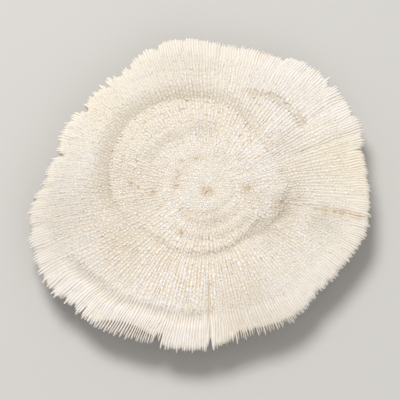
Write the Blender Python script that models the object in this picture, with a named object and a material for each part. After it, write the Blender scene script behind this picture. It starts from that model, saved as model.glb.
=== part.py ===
"""Skeleton of a mushroom coral, lying on its mouth side with its underside up.

The skeleton grew as one piece, so it is one closed solid. It is built as a stack of
rings around the growth centre: down from the middle of the underside over its growth
ledge, grooves and ribs to the toothed rim, and back under the rim over the septa (the
radial plates) to the mouth. Sizes are millimetres and angles are degrees counted
counter-clockwise from +X around the growth centre. make_object turns them into metres.
"""

import bpy
import numpy as np

MM = 0.001

# Driving dimensions
CENTRE_HEIGHT = 26.5       # top of the underside, above the surface it lies on
DOME_DROP = 4.5            # how far the underside falls towards the rim
EDGE_DROP = 3.4            # how much further it bends down close to the rim
EDGE_POWER = 6             # how late that bend begins
TIP_DROP = 1.2             # rounding of the ends of the plates
RIM_UNDER_HEIGHT = 13.6    # lower corner of the plates' ends
UNDER_POWER = 1.7          # how late the septa rise from the flat ring to the rim
GROWTH_CENTRE = (3.0, -4.4)
RIB_COUNT = 160            # large septa, each a rib of the underside
REST_RADIUS = 24.0         # worn flat ring of the septa that the skeleton rests on

# Outline of the rim: angle, distance from the growth centre
RIM_POINTS = (
    (0, 76.4), (15, 77.5), (21, 79.6), (26, 82.3), (36, 83.8), (50, 85.5), (58, 84.8), (64, 81.4),
    (75, 81.0), (85, 80.9), (92, 82.4), (102, 83.8), (110, 82.3), (117, 79.6), (122, 77.2), (134, 77.0),
    (142, 74.8), (151, 77.2), (160, 75.1), (171, 76.4), (176, 77.2), (182, 81.5), (190, 83.5), (205, 85.5),
    (214, 84.9), (220, 82.0), (230, 80.4), (240, 77.1), (252, 75.0), (262, 74.6), (270, 73.6), (280, 71.2),
    (288, 70.6), (302, 71.7), (318, 69.6), (326, 70.5), (338, 73.6), (346, 75.9),
)

# Chipped places in the rim, and lobes where the depth is negative: angle, half of the width, depth
RIM_NOTCHES = (
    (17.8, 1.1, 2.0), (30.8, 1.6, 2.2), (44.1, 1.5, 3.0), (62.0, 1.6, 2.4), (78.6, 1.2, 1.5),
    (98.2, 1.2, 1.3), (107.2, 2.2, 2.0), (118.5, 1.8, 2.5), (122.6, 1.4, 1.0), (127.4, 1.6, -1.3),
    (130.0, 1.6, 3.2), (138.7, 2.2, -1.2), (142.4, 2.6, 2.3), (145.0, 1.0, -0.6), (157.5, 3.4, -0.9),
    (163.4, 2.0, 4.8), (173.5, 1.4, 1.0), (217.8, 1.6, 1.8), (221.6, 0.8, 2.6), (225.1, 1.0, 3.6),
    (252.3, 1.1, 5.0), (271.4, 1.0, 4.8), (283.0, 1.1, 2.4), (323.4, 0.9, 1.2),
)

# Length of the open gaps between the plates' ends: angle, length
GAP_POINTS = (
    (0, 1.6), (60, 1.8), (73, 3.0), (83, 3.0), (95, 1.8), (150, 1.5), (208, 1.8), (229, 2.2), (234, 4.6),
    (248, 5.4), (256, 2.4), (268, 2.0), (277, 2.6), (283, 4.0), (297, 4.0), (312, 2.4), (332, 1.6),
)

# Foot of the ledge around the first, disc-shaped growth: angle, distance from the growth centre
LEDGE_POINTS = (
    (9, 38.5), (36, 36.3), (57, 39.6), (74, 45.6), (98, 48.8), (117, 51.0), (134, 51.6), (150, 49.4),
    (177, 45.4), (192, 41.5), (207, 36.5), (224, 33.4), (259, 31.8), (301, 29.7), (323, 30.6), (342, 34.8),
)
LEDGE_DEPTH_POINTS = (
    (5, 1.0), (25, 1.1), (45, 1.3), (70, 1.9), (95, 2.5), (150, 2.7), (178, 2.0), (198, 0.8), (215, 0.7),
    (235, 1.1), (260, 1.4), (310, 1.6), (335, 1.7), (350, 1.2),
)
LEDGE_APRON_POINTS = ((0, 4.0), (60, 5.0), (90, 8.5), (180, 9.5), (215, 6.0), (250, 4.5), (320, 4.5))
LEDGE_STEP = 2.6           # width of the steep inner side of the ledge's groove

# Later growth grooves: share of the rim's distance, middle and half of the arc in degrees, width, depth
GROWTH_GROOVES = (
    (0.675, 53.0, 13.0, 2.2, 1.7),
    (0.800, 238.0, 27.0, 4.0, 1.6),
    (0.165, 283.0, 60.0, 2.2, 0.5),
    (0.175, 165.0, 40.0, 2.0, 0.8),
)
GROOVE_FADE = 7.0          # degrees over which a growth groove runs out
GROOVE_OUTER_SIDE = 1.3    # width of a groove's outer side, as a share of its inner side

# Radial cracks and valleys: angle, distance at which each starts, half of its width, depth
RADIAL_GROOVES = (
    (24.0, 37.0, 2.6, 0.8),
    (37.0, 40.0, 2.6, 0.6),
    (84.5, 52.0, 1.8, 0.4),
    (271.4, 43.0, 1.5, 1.1),
    (351.0, 38.0, 2.0, 0.7),
)
RADIAL_RUN_IN = 4.0        # length over which a radial groove begins, in half widths

# Low humps and hollows: x, y, radius, height
HUMPS_AND_HOLLOWS = (
    (-3.5, -8.2, 3.8, 0.6),
    (3.3, -4.9, 2.2, -0.6),
    (22.0, -3.9, 3.2, -1.3),
    (38.4, -13.0, 5.5, -1.9),
    (43.5, -9.0, 5.0, -1.2),
    (-47.6, -10.1, 13.0, -1.8),
    (-54.1, -24.3, 11.0, -1.2),
    (48.3, 31.9, 3.0, -0.9),
    (15.0, -22.8, 5.0, 0.6),
    (-17.8, -24.8, 4.5, 0.6),
    (-26.0, -12.0, 5.0, -0.6),
)

# Ribs of the underside and valleys between the septa, from the ledge out to the rim
RIB_RELIEF_INNER = 0.35
RIB_RELIEF_OUTER = 0.70
SEPTA_RELIEF = 3.2         # depth of the valleys between the septa
TIP_UNDERCUT = 1.1         # how far the lower corner of a plate's end lies behind the upper one
TIP_REACH = 0.7            # how far the longest plates stand out past the outline
TIP_SCATTER = 1.4          # how much shorter the shortest plates are
TIP_SEED = 11

# Where the rings of points lie. First growth disc: ribs to a point, share of the ledge's distance
DISC_RINGS = ((4, 0.07), (2, 0.18), (2, 0.32), (2, 0.48), (1, 0.65), (1, 0.82))
LEDGE_RINGS = (1.0, 0.45, 0.0)         # shares of the ledge's step, inward from its foot
APRON_SHARE = 0.8                      # where the ribbed rings begin, as a share of the ledge's apron
RIB_RINGS = (0.0, 0.6, 0.85)           # shares of the way from there to the edge zone
EDGE_ZONE = 0.8                        # where the edge zone begins, as a share of the rim's distance
EDGE_ZONE_LEAD = 3.0                   # least width of the ribbed zone before it
EDGE_INSET = 0.8                       # last ring before the open gaps
SEPTA_INSET = 4.0                      # how far the septa's rings keep behind the rim

# Mouth side: points to a rib, share of the way from the flat ring to the rim, share of the relief
SEPTA_RINGS = ((2.0, 0.97, 0.8), (2.0, 0.66, 1.0), (1.0, 0.36, 1.0), (1.0, 0.13, 0.6), (0.5, 0.0, 0.0))

# Mouth slit: half lengths of its brim and of its floor, and its depth
MOUTH_BRIM = (13.0, 7.0)
MOUTH_FLOOR = (8.5, 2.4)
MOUTH_DEPTH = 6.5
COLUMELLA_HEIGHT = 0.7     # the low ridge along the floor of the mouth

SKELETON_COLOUR = (0.855, 0.768, 0.631, 1.0)
SKELETON_ROUGHNESS = 0.85


def smooth_step(value):
    value = np.clip(value, 0.0, 1.0)
    return value * value * (3.0 - 2.0 * value)


def closed_curve(points, degrees):
    """Smooth closed curve through pairs of angle and value, read at the given angles."""
    angles = np.array([angle for angle, _ in points], dtype=float)
    values = np.array([value for _, value in points], dtype=float)
    angles = np.concatenate((angles[-2:] - 360.0, angles, angles[:2] + 360.0))
    values = np.concatenate((values[-2:], values, values[:2]))
    slopes = np.gradient(values, angles)
    degrees = np.mod(degrees, 360.0)
    left = np.searchsorted(angles, degrees, side="right") - 1
    width = angles[left + 1] - angles[left]
    part = (degrees - angles[left]) / width
    rise = part * part * (3.0 - 2.0 * part)
    return (values[left] * (1.0 - rise) + values[left + 1] * rise
            + slopes[left] * width * part * (1.0 - part) ** 2
            - slopes[left + 1] * width * part * part * (1.0 - part))


def turn_between(degrees, middle):
    """Smallest turn from one angle to another, without its sign."""
    return np.abs(np.mod(degrees - middle + 180.0, 360.0) - 180.0)


def rim_distance(degrees):
    distance = closed_curve(RIM_POINTS, degrees)
    for angle, half_width, depth in RIM_NOTCHES:
        distance = distance - depth * np.clip(1.0 - turn_between(degrees, angle) / half_width, 0.0, 1.0)
    return distance


def groove(offset, inner_width, outer_width):
    """Cross-section of a groove: 1 at its foot, 0 beyond its two sides."""
    width = np.where(offset < 0.0, inner_width, outer_width)
    return 1.0 - smooth_step(np.abs(offset) / width)


def top_height(degrees, distance):
    """Height of the underside over the tips of its grains and ribs."""
    rim = closed_curve(RIM_POINTS, degrees)
    share = distance / rim
    height = CENTRE_HEIGHT - DOME_DROP * share ** 2 - EDGE_DROP * share ** EDGE_POWER
    from_ledge = distance - closed_curve(LEDGE_POINTS, degrees)
    apron = closed_curve(LEDGE_APRON_POINTS, degrees)
    height = height - closed_curve(LEDGE_DEPTH_POINTS, degrees) * groove(from_ledge, LEDGE_STEP, apron)
    for groove_share, middle, half_arc, width, depth in GROWTH_GROOVES:
        fade = 1.0 - smooth_step((turn_between(degrees, middle) - half_arc) / GROOVE_FADE)
        dip = groove(distance - groove_share * rim, width, GROOVE_OUTER_SIDE * width)
        height = height - depth * fade * dip
    for angle, start, half_width, depth in RADIAL_GROOVES:
        aside = distance * np.radians(turn_between(degrees, angle))
        begun = smooth_step((distance - start) / (RADIAL_RUN_IN * half_width))
        height = height - depth * begun * (1.0 - smooth_step(aside / half_width))
    x = GROWTH_CENTRE[0] + distance * np.cos(np.radians(degrees))
    y = GROWTH_CENTRE[1] + distance * np.sin(np.radians(degrees))
    for hump_x, hump_y, radius, rise in HUMPS_AND_HOLLOWS:
        height = height + rise * np.exp(-((x - hump_x) ** 2 + (y - hump_y) ** 2) / radius ** 2)
    return height


def under_height(degrees, distance):
    """Height of the mouth side over the edges of its septa."""
    reach = rim_distance(degrees) - TIP_UNDERCUT - REST_RADIUS
    return RIM_UNDER_HEIGHT * np.clip((distance - REST_RADIUS) / reach, 0.0, 1.0) ** UNDER_POWER


def ring_angles(count):
    return np.arange(count) * 360.0 / count


def ring_points(degrees, distance, height):
    x = GROWTH_CENTRE[0] + distance * np.cos(np.radians(degrees))
    y = GROWTH_CENTRE[1] + distance * np.sin(np.radians(degrees))
    return np.stack((x, y, np.broadcast_to(height, x.shape)), axis=1)


def top_ring(count, distance, relief=0.0):
    """Ring of the underside, where every second point lies in a valley between two ribs."""
    degrees = ring_angles(count)
    in_valley = np.arange(count) % 2
    return ring_points(degrees, distance, top_height(degrees, distance) - relief * in_valley)


def inner_top_rings():
    """Rings of the first growth disc, from the middle out to the ledge's foot."""
    rings = [ring_points(np.zeros(1), np.zeros(1), top_height(0.0, 0.0))]
    for ribs_to_a_point, share in DISC_RINGS:
        count = RIB_COUNT // ribs_to_a_point
        rings.append(top_ring(count, share * closed_curve(LEDGE_POINTS, ring_angles(count))))
    ledge = closed_curve(LEDGE_POINTS, ring_angles(RIB_COUNT))
    for share in LEDGE_RINGS:
        rings.append(top_ring(RIB_COUNT, ledge - share * LEDGE_STEP, RIB_RELIEF_INNER))
    return rings


def outer_top_rings():
    """Ribbed rings from the ledge's apron to the edge where the plates part."""
    count = 2 * RIB_COUNT
    degrees = ring_angles(count)
    start = closed_curve(LEDGE_POINTS, degrees) + APRON_SHARE * closed_curve(LEDGE_APRON_POINTS, degrees)
    edge_zone = EDGE_ZONE * closed_curve(RIM_POINTS, degrees)
    edge = rim_distance(degrees) - closed_curve(GAP_POINTS, degrees) - EDGE_INSET
    rings = []
    for share in RIB_RINGS:
        relief = RIB_RELIEF_INNER + (RIB_RELIEF_OUTER - RIB_RELIEF_INNER) * share
        rings.append(top_ring(count, start + share * (edge_zone - start), relief))
    edge_zone = np.maximum(edge_zone, start + EDGE_ZONE_LEAD)
    for share in (0.0, 0.5, 1.0):
        rings.append(top_ring(count, edge_zone + share * (edge - edge_zone), RIB_RELIEF_OUTER))
    return rings


def rim_rings():
    """Upper and lower corners of the plates' ends, with the gaps between them."""
    count = 2 * RIB_COUNT
    degrees = ring_angles(count)
    in_gap = np.arange(count) % 2 == 1
    scatter = TIP_SCATTER * np.random.default_rng(TIP_SEED).random(count)
    tip = rim_distance(degrees) + TIP_REACH - scatter
    gap = rim_distance(degrees) - closed_curve(GAP_POINTS, degrees)
    upper = np.where(in_gap, gap, tip)
    lower = np.where(in_gap, gap, tip - TIP_UNDERCUT)
    upper_height = top_height(degrees, upper) - np.where(in_gap, RIB_RELIEF_OUTER, TIP_DROP)
    lower_height = under_height(degrees, lower) + np.where(in_gap, 0.5 * SEPTA_RELIEF, 0.0)
    return [ring_points(degrees, upper, upper_height), ring_points(degrees, lower, lower_height)]


def septa_ring(count, share, relief):
    """Ring of the mouth side, where every second point lies in a valley between two septa."""
    degrees = ring_angles(count)
    distance = REST_RADIUS + share * (rim_distance(degrees) - SEPTA_INSET - REST_RADIUS)
    in_valley = np.arange(count) % 2
    return ring_points(degrees, distance, under_height(degrees, distance) + relief * in_valley)


def oval_ring(count, half_lengths, height):
    degrees = ring_angles(count)
    along = half_lengths[1] * np.cos(np.radians(degrees))
    across = half_lengths[0] * np.sin(np.radians(degrees))
    distance = half_lengths[0] * half_lengths[1] / np.hypot(along, across)
    return ring_points(degrees, distance, height)


def mouth_side_rings():
    """Rings of the septa from behind the rim to the flat ring, then down into the mouth."""
    rings = []
    for points_to_a_rib, share, relief in SEPTA_RINGS:
        rings.append(septa_ring(int(points_to_a_rib * RIB_COUNT), share, relief * SEPTA_RELIEF))
    rings.append(oval_ring(RIB_COUNT // 2, MOUTH_BRIM, 0.0))
    rings.append(oval_ring(RIB_COUNT // 4, MOUTH_FLOOR, MOUTH_DEPTH))
    rings.append(ring_points(np.zeros(1), np.zeros(1), MOUTH_DEPTH - COLUMELLA_HEIGHT))
    return rings


def faces_between(inner, outer):
    """Faces between two neighbouring rings of equal, double or half count, or a single point."""
    faces = []
    if len(inner) == 1:
        return [(inner[0], outer[i], outer[(i + 1) % len(outer)]) for i in range(len(outer))]
    if len(outer) == 1:
        return [(inner[i], outer[0], inner[(i + 1) % len(inner)]) for i in range(len(inner))]
    if len(inner) == len(outer):
        for i in range(len(inner)):
            after = (i + 1) % len(inner)
            faces.append((inner[i], outer[i], outer[after], inner[after]))
    elif 2 * len(inner) == len(outer):
        for i in range(len(inner)):
            after = (i + 1) % len(inner)
            half_way = outer[2 * i + 1]
            faces.append((inner[i], outer[2 * i], half_way))
            faces.append((inner[i], half_way, inner[after]))
            faces.append((inner[after], half_way, outer[2 * after]))
    else:
        for i in range(len(outer)):
            after = (i + 1) % len(outer)
            half_way = inner[2 * i + 1]
            faces.append((inner[2 * i], outer[i], half_way))
            faces.append((half_way, outer[i], outer[after]))
            faces.append((half_way, outer[after], inner[2 * after]))
    return faces


def make_mesh(name, rings):
    first = 0
    numbers = []
    for ring in rings:
        numbers.append(list(range(first, first + len(ring))))
        first += len(ring)
    faces = []
    for inner, outer in zip(numbers[:-1], numbers[1:]):
        faces.extend(faces_between(inner, outer))
    points = np.concatenate(rings) * MM
    mesh = bpy.data.meshes.new(name)
    mesh.from_pydata(points.tolist(), [], faces)
    mesh.validate()
    mesh.shade_smooth()
    return mesh


def make_material():
    material = bpy.data.materials.new("skeleton")
    material.use_nodes = True
    shader = material.node_tree.nodes["Principled BSDF"]
    shader.inputs["Base Color"].default_value = SKELETON_COLOUR
    shader.inputs["Roughness"].default_value = SKELETON_ROUGHNESS
    shader.inputs["Metallic"].default_value = 0.0
    return material


def make_object():
    rings = inner_top_rings() + outer_top_rings() + rim_rings() + mouth_side_rings()
    mesh = make_mesh("coral_skeleton", rings)
    mesh.materials.append(make_material())
    skeleton = bpy.data.objects.new("coral_skeleton", mesh)
    bpy.context.scene.collection.objects.link(skeleton)
    return skeleton


for old in list(bpy.data.objects):
    bpy.data.objects.remove(old, do_unlink=True)

make_object()
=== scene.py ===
"""Looks of a mushroom coral skeleton: its wall, ribs, septa and grains as fine meshes.

Lengths are millimetres and angles are degrees counted counter-clockwise from +X around
the growth centre, until make_piece turns them into metres.
"""

import math

import bpy
import numpy as np
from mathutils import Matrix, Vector


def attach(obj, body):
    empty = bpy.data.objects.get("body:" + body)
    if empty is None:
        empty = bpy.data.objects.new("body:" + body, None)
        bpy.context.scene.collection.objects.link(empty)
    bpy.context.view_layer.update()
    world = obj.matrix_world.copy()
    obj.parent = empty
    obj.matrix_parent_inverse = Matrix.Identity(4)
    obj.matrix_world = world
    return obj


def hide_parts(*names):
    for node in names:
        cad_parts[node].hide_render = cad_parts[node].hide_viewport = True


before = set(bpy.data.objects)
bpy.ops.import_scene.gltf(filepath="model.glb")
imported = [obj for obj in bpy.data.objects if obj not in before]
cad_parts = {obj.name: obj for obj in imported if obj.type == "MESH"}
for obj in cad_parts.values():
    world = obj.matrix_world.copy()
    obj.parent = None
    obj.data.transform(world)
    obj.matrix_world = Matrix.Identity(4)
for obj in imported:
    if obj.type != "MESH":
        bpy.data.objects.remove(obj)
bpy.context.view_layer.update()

MM = 0.001

# Form of the skeleton, as in the part's source but finer
CENTRE_HEIGHT = 26.5  # top of the underside, above the surface it lies on
DOME_DROP = 4.5  # how far the underside falls towards the rim
EDGE_DROP = 3.4  # how much further it bends down close to the rim
EDGE_POWER = 6
TIP_DROP = 0.72
RIM_UNDER_HEIGHT = 13.6  # lower corner of the plates' ends
UNDER_POWER = 1.7
GROWTH_CENTRE = (3.0, -4.4)
REST_RADIUS = 24.0  # worn flat ring of the septa that the skeleton rests on

# Outline of the rim: angle, distance from the growth centre
RIM_POINTS = (
    (0, 76.4), (15, 77.5), (21, 79.6), (26, 82.3), (36, 83.8), (50, 85.5), (58, 84.8), (64, 81.4), (75, 81),
    (85, 80.9), (92, 82.4), (102, 83.8), (110, 82.3), (117, 79.6), (122, 77.2), (134, 77), (142, 74.8),
    (151, 77.2), (160, 75.1), (171, 76.4), (176, 77.2), (182, 81.5), (190, 83.5), (205, 85.5), (214, 84.9),
    (220, 82), (230, 80.4), (240, 77.1), (252, 75), (262, 74.6), (270, 73.6), (280, 71.2), (288, 70.6),
    (302, 71.7), (318, 69.6), (326, 70.5), (338, 73.6), (346, 75.9),
)

# Chipped places in the rim, and lobes where the depth is negative: angle, half of the width, depth
RIM_NOTCHES = (
    (17.8, 1.1, 2), (30.8, 1.6, 2.2), (44.1, 1.5, 3), (62, 1.6, 2.4), (78.6, 1.2, 1.5), (98.2, 1.2, 1.3),
    (107.2, 2.2, 2), (118.5, 1.8, 2.5), (122.6, 1.4, 1), (127.4, 1.6, -1.3), (130, 1.6, 3.2),
    (138.7, 2.2, -1.2), (142.4, 2.6, 2.3), (145, 1, -0.6), (157.5, 3.4, -0.9), (163.4, 2, 4.8),
    (173.5, 1.4, 1), (217.8, 1.6, 1.8), (221.6, 0.8, 2.6), (225.1, 1, 3.6), (252.3, 1.1, 5),
    (271.4, 1, 4.8), (283, 1.1, 2.4), (323.4, 0.9, 1.2),
)

# Finer clefts, dents and, where the depth is negative, lobes of the plates' ends, in the same order
FINE_NOTCHES = (
    (17.8, 0.9, 2.2), (44.1, 0.6, 1), (62, 0.8, 0.8), (107.2, 0.9, 0.8), (145, 0.8, 0.7), (5, 0.5, 0.8),
    (7, 0.7, 1.1), (11, 0.5, 0.8), (22.7, 0.6, 0.6), (24.3, 1, -0.6), (33, 0.6, 0.9), (40.7, 0.5, 1.1),
    (42.7, 0.5, 0.7), (46, 0.6, -0.8), (46.8, 0.6, 1.4), (54, 9, 0.6), (52.5, 0.4, 0.9), (57.9, 0.5, 1),
    (65.4, 0.4, 1), (67.2, 0.8, -0.8), (67.8, 0.4, 0.8), (75.5, 0.4, 1), (77.7, 0.3, 1.6), (82.7, 0.3, 1.6),
    (84.4, 0.3, 1), (85, 12, 0.5), (92.5, 0.5, 0.7), (100, 0.6, 0.6), (105.3, 0.5, 0.9), (109.3, 0.5, 1.5),
    (110.4, 0.4, 1.2), (114.4, 0.8, 0.9), (126.6, 0.5, 1.7), (131.9, 0.35, 2), (134.5, 0.4, 0.8),
    (136.7, 0.5, 0.8), (146.1, 0.5, 1.4), (148.6, 0.9, 1), (150.5, 4, 0.5), (160.6, 0.5, 0.7),
    (168.4, 0.5, 0.5), (171.6, 0.4, 0.5), (174.9, 0.5, 0.9), (181, 0.6, 0.5), (183.7, 0.9, 1),
    (191.2, 0.7, 0.9), (193.4, 0.8, 1.2), (196.4, 0.6, 1.1), (200, 0.6, 0.7), (202, 0.8, 0.8),
    (209.4, 0.9, 1.1), (211, 0.6, 0.8), (213, 0.5, 0.5), (215.1, 0.7, -0.6), (219.8, 0.8, -0.4),
    (227.8, 0.4, 2.2), (229, 0.5, 0.7), (249.4, 0.4, 2.2), (253.5, 0.35, 4), (261, 0.4, 0.9),
    (264.4, 0.6, 0.9), (266.6, 0.4, 0.7), (268.6, 0.4, 1.2), (274, 0.6, 0.6), (278.8, 0.5, 0.9),
    (281.2, 0.4, 3), (285.8, 0.4, 1.2), (288.5, 0.5, 1.4), (301, 0.5, 0.8), (309.4, 0.4, 0.5),
    (316.4, 0.6, 0.9), (317.5, 3, 0.5), (328.6, 0.7, 0.8), (331.4, 0.8, 0.8), (337.6, 0.5, 0.6),
    (352.2, 0.8, 0.8), (354, 0.8, 0.9),
)

# Length of the open gaps between the plates' ends: angle, length
GAP_POINTS = (
    (0, 1.6), (60, 1.8), (73, 3.0), (83, 3.0), (95, 1.8), (150, 1.5), (208, 1.8), (229, 2.2), (234, 6.2),
    (248, 6.0), (256, 2.4), (268, 2.0), (277, 2.6), (283, 4.0), (297, 4.0), (312, 2.4), (332, 1.6),
)

# How unevenly the plates' tips end: angle, most that a tip falls short
JAG_POINTS = (
    (0, 1.2), (45, 1.5), (70, 0.8), (100, 1.0), (118, 2.4), (150, 2.6), (168, 1.9), (190, 1.8), (215, 2.2),
    (235, 1.8), (262, 1.2), (290, 1.8), (320, 1.3),
)

# Foot of the ledge around the first, disc-shaped growth: angle, distance from the growth centre
LEDGE_POINTS = (
    (9, 38.5), (36, 36.3), (57, 39.6), (74, 45.6), (98, 48.8), (117, 51.0), (134, 51.6), (150, 49.4),
    (177, 45.4), (192, 41.5), (207, 36.5), (224, 33.4), (259, 31.8), (301, 29.7), (323, 30.6), (342, 34.8),
)
# Depth of the ledge: angle, depth
LEDGE_DEPTH_POINTS = (
    (5, 1.0), (25, 1.1), (45, 1.3), (70, 1.9), (95, 2.5), (150, 2.7), (178, 2.0), (198, 0.8), (215, 0.7),
    (235, 1.1), (260, 1.4), (310, 1.6), (335, 1.7), (350, 1.2),
)
# Width of the slope beyond the ledge's foot: angle, width
LEDGE_APRON_POINTS = ((0, 4.0), (60, 5.0), (90, 8.5), (180, 9.5), (215, 6.0), (250, 4.5), (320, 4.5))
# Width of the ledge's step: angle, width
LEDGE_STEP_POINTS = ((0, 3.2), (60, 2.6), (250, 2.6), (290, 3.2), (320, 4.4), (342, 4.2))
# How far the ledge's foot wanders in and out: angle, distance
LEDGE_WANDER_POINTS = ((0, 0.6), (40, 0.2), (200, 0.3), (280, 0.5), (320, 1.3), (345, 1.1))
LEDGE_WAVE = (9.0, 78)  # size, seed

# Later growth grooves: share of the rim's distance, middle and half of the arc in degrees, width, depth
GROWTH_GROOVES = (
    (0.675, 53, 13, 2.2, 1.7), (0.800, 238, 27, 4, 1.6), (0.165, 283, 60, 2.2, 0.5),
    (0.175, 165, 40, 2, 0.8),
)
GROOVE_FADE = 7.0  # degrees over which a groove fades out at its ends
GROOVE_BEGIN = 4.0  # length over which a radial groove deepens, in half widths
GROOVE_OUTER = 1.3  # width of its outer side as a share of its inner side

# Faint growth rings on both sides of the ledge: share of its distance, middle and half of the arc, depth
FAINT_RINGS = (
    (0.84, 95, 70, 0.45), (0.70, 120, 60, 0.40), (1.28, 90, 34, 0.35), (1.44, 95, 30, 0.30),
    (0.56, 80, 80, 0.30), (0.42, 200, 60, 0.30), (0.80, 285, 50, 0.35), (0.62, 300, 55, 0.35),
    (0.88, 205, 30, 0.30), (0.36, 330, 40, 0.30),
)
FAINT_RING_WIDTH = 1.7
RING_FADE = 21.0

# Radial cracks and valleys: angle, distance at which each starts, half of its width, depth, and how far
# the plates on each side stand aside
RADIAL_GROOVES = (
    (24, 37, 2.6, 0.8, 0), (37, 40, 2.6, 0.6, 0), (84.5, 52, 1.8, 0.4, 0), (271.4, 43, 1.5, 1.1, 0.38),
    (351, 38, 2.2, 0.7, 0.16),
)

# Low humps and hollows: x, y, radius, height
HUMPS_AND_HOLLOWS = (
    (-3.5, -8.2, 3.8, 0.6), (3.3, -4.9, 2.2, -0.6), (22, -3.9, 3.2, -1.3), (38.4, -13, 5.5, -1.9),
    (43.5, -9, 5, -1.2), (-47.6, -10.1, 13, -1.8), (-54.1, -24.3, 11, -1.2), (48.3, 31.9, 3, -0.9),
    (15, -22.8, 5, 0.6), (-17.8, -24.8, 4.5, 0.6), (-26, -12, 5, -0.6),
)

TIP_UNDERCUT = 1.1  # how far the lower corners of the plates' ends stay behind the rim
# Half of the mouth's length and width, at its brim and at its floor
MOUTH_BRIM = (13.0, 7.0)
MOUTH_FLOOR = (8.5, 2.4)
MOUTH_DEPTH = 6.5

# Distance at which rows of grains have become ribs
RIB_START_POINTS = (
    (0, 43), (30, 40), (60, 43), (90, 48), (120, 58), (150, 68), (180, 74), (203, 70), (218, 52), (235, 37),
    (270, 33), (300, 33), (330, 39),
)
# Share of the rim's distance at which the beads on the ribs end: angle, share
BEAD_END_POINTS = (
    (0, 0.86), (45, 0.84), (90, 0.86), (130, 0.92), (180, 0.90), (205, 0.84), (225, 0.76), (250, 0.74),
    (275, 0.80), (300, 0.82), (330, 0.84),
)
BEAD_END_WIDTH = 0.12

# Ribs and septa: how many plates of each cycle, and between which distances they begin
CYCLES = ((25, 3.8, 4.6), (25, 6.0, 12.0), (50, 12.0, 26.0), (100, 26.0, 50.0), (200, 52.0, 73.0))
PLATE_COUNT = sum(count for count, _, _ in CYCLES)
PLATE_GROWTH = (5.0, 6.0, 9.0, 11.0, 8.0)  # length over which a new plate makes room for itself
SHORTEST_PLATE = 6.0
EVEN_SPREAD = 0.618034  # turn between the starts of neighbouring plates of a cycle
NEIGHBOURHOOD = 9.0  # plates over which spacing evens out
FAN_SWAY = 0.34  # how far groups of plates sway aside near the rim
# Narrowest and widest room that a plate can have
LEAST_ROOM = 0.8
MOST_ROOM = 2.3
EARLY_ROOM = 3.0  # distance before its start at which a plate counts as begun
NOTCH_PARTING = 0.11  # how far plates stand apart at a notch, as a share of its depth
NOTCH_REACH = 1.6  # how far from a notch or crack plates still give way
CRACK_REACH = 2.4
CRACK_BEGIN = 12.0
# How far aside groups of plates sway: distance, size of a group, seed
SWAYS = ((0.30, 34.0, 41), (0.06, 9.0, 42))
FAN_WAVE = (19.0, 43)
# Ramps on the share of the rim's distance: where each begins, how wide it is
FAN_RAMP = (0.66, 0.30)
PARTING_RAMP = (0.84, 0.16)
PLACE_OF_CYCLE = ((0, 16), (8, 16), (4, 8), (2, 4), (1, 2))  # first plate of each cycle, plates to the next
START_SHAKE = 0.12
EARLY_GROWTH = 0.3  # share of its growth that a plate has before its start
INNERMOST = 6.0  # distance inside which plates give way no further
LAYOUT_SEED = 5
LONGEST_DISTANCE = 88.0
TRACK_STEP = 0.5
MEAN_RIM = 78.0
RIPPLE_WAVES = 7
RIPPLE_LENGTHS = (0.75, 1.35)


def smooth_step(value):
    value = np.clip(value, 0.0, 1.0)
    return value * value * (3.0 - 2.0 * value)


def ramp(value, begin, width):
    """Smooth rise from 0, where it begins, to 1 after its width."""
    return smooth_step((value - begin) / width)


def blend(low, high, share):
    return low + (high - low) * share


def closed_curve(points, degrees):
    """Smooth closed curve through pairs of angle and value, read at the given angles."""
    angles = np.array([angle for angle, _ in points], dtype=float)
    values = np.array([value for _, value in points], dtype=float)
    angles = np.concatenate((angles[-2:] - 360.0, angles, angles[:2] + 360.0))
    values = np.concatenate((values[-2:], values, values[:2]))
    slopes = np.gradient(values, angles)
    degrees = np.mod(degrees, 360.0)
    left = np.searchsorted(angles, degrees, side="right") - 1
    width = angles[left + 1] - angles[left]
    part = (degrees - angles[left]) / width
    rise = part * part * (3.0 - 2.0 * part)
    return (values[left] * (1.0 - rise) + values[left + 1] * rise
            + slopes[left] * width * part * (1.0 - part) ** 2
            - slopes[left + 1] * width * part * part * (1.0 - part))


def polar(x, y):
    """Angle and distance from the growth centre."""
    dx = x - GROWTH_CENTRE[0]
    dy = y - GROWTH_CENTRE[1]
    return np.degrees(np.arctan2(dy, dx)), np.hypot(dx, dy)


def turn_from(degrees, middle):
    """Smallest turn from the middle angle to the given ones, counter-clockwise positive."""
    return np.mod(degrees - middle + 180.0, 360.0) - 180.0


def notched(distance, degrees, notches):
    for angle, half_width, depth in notches:
        turn = np.abs(turn_from(degrees, angle))
        distance = distance - depth * np.clip(1.0 - turn / half_width, 0.0, 1.0)
    return distance


def rim_distance(degrees):
    """Distance of the rim with its large chips and lobes."""
    return notched(closed_curve(RIM_POINTS, degrees), degrees, RIM_NOTCHES)


def plate_rim(degrees):
    """Distance of the rim with the finer clefts too."""
    return notched(rim_distance(degrees), degrees, FINE_NOTCHES)


def rim_share(degrees, distance):
    """Distance as a share of the way to the unbroken rim."""
    return distance / closed_curve(RIM_POINTS, degrees)


def groove(offset, inner_width, outer_width):
    """Cross-section of a groove: 1 at its foot, 0 beyond its two sides."""
    width = np.where(offset < 0.0, inner_width, outer_width)
    return 1.0 - smooth_step(np.abs(offset) / width)


def top_height(degrees, distance):
    """Height of the underside over the tips of its grains and ribs."""
    share = rim_share(degrees, distance)
    height = CENTRE_HEIGHT - DOME_DROP * share ** 2 - EDGE_DROP * share ** EDGE_POWER
    return height - sunken(degrees, distance) + humps(degrees, distance)


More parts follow.
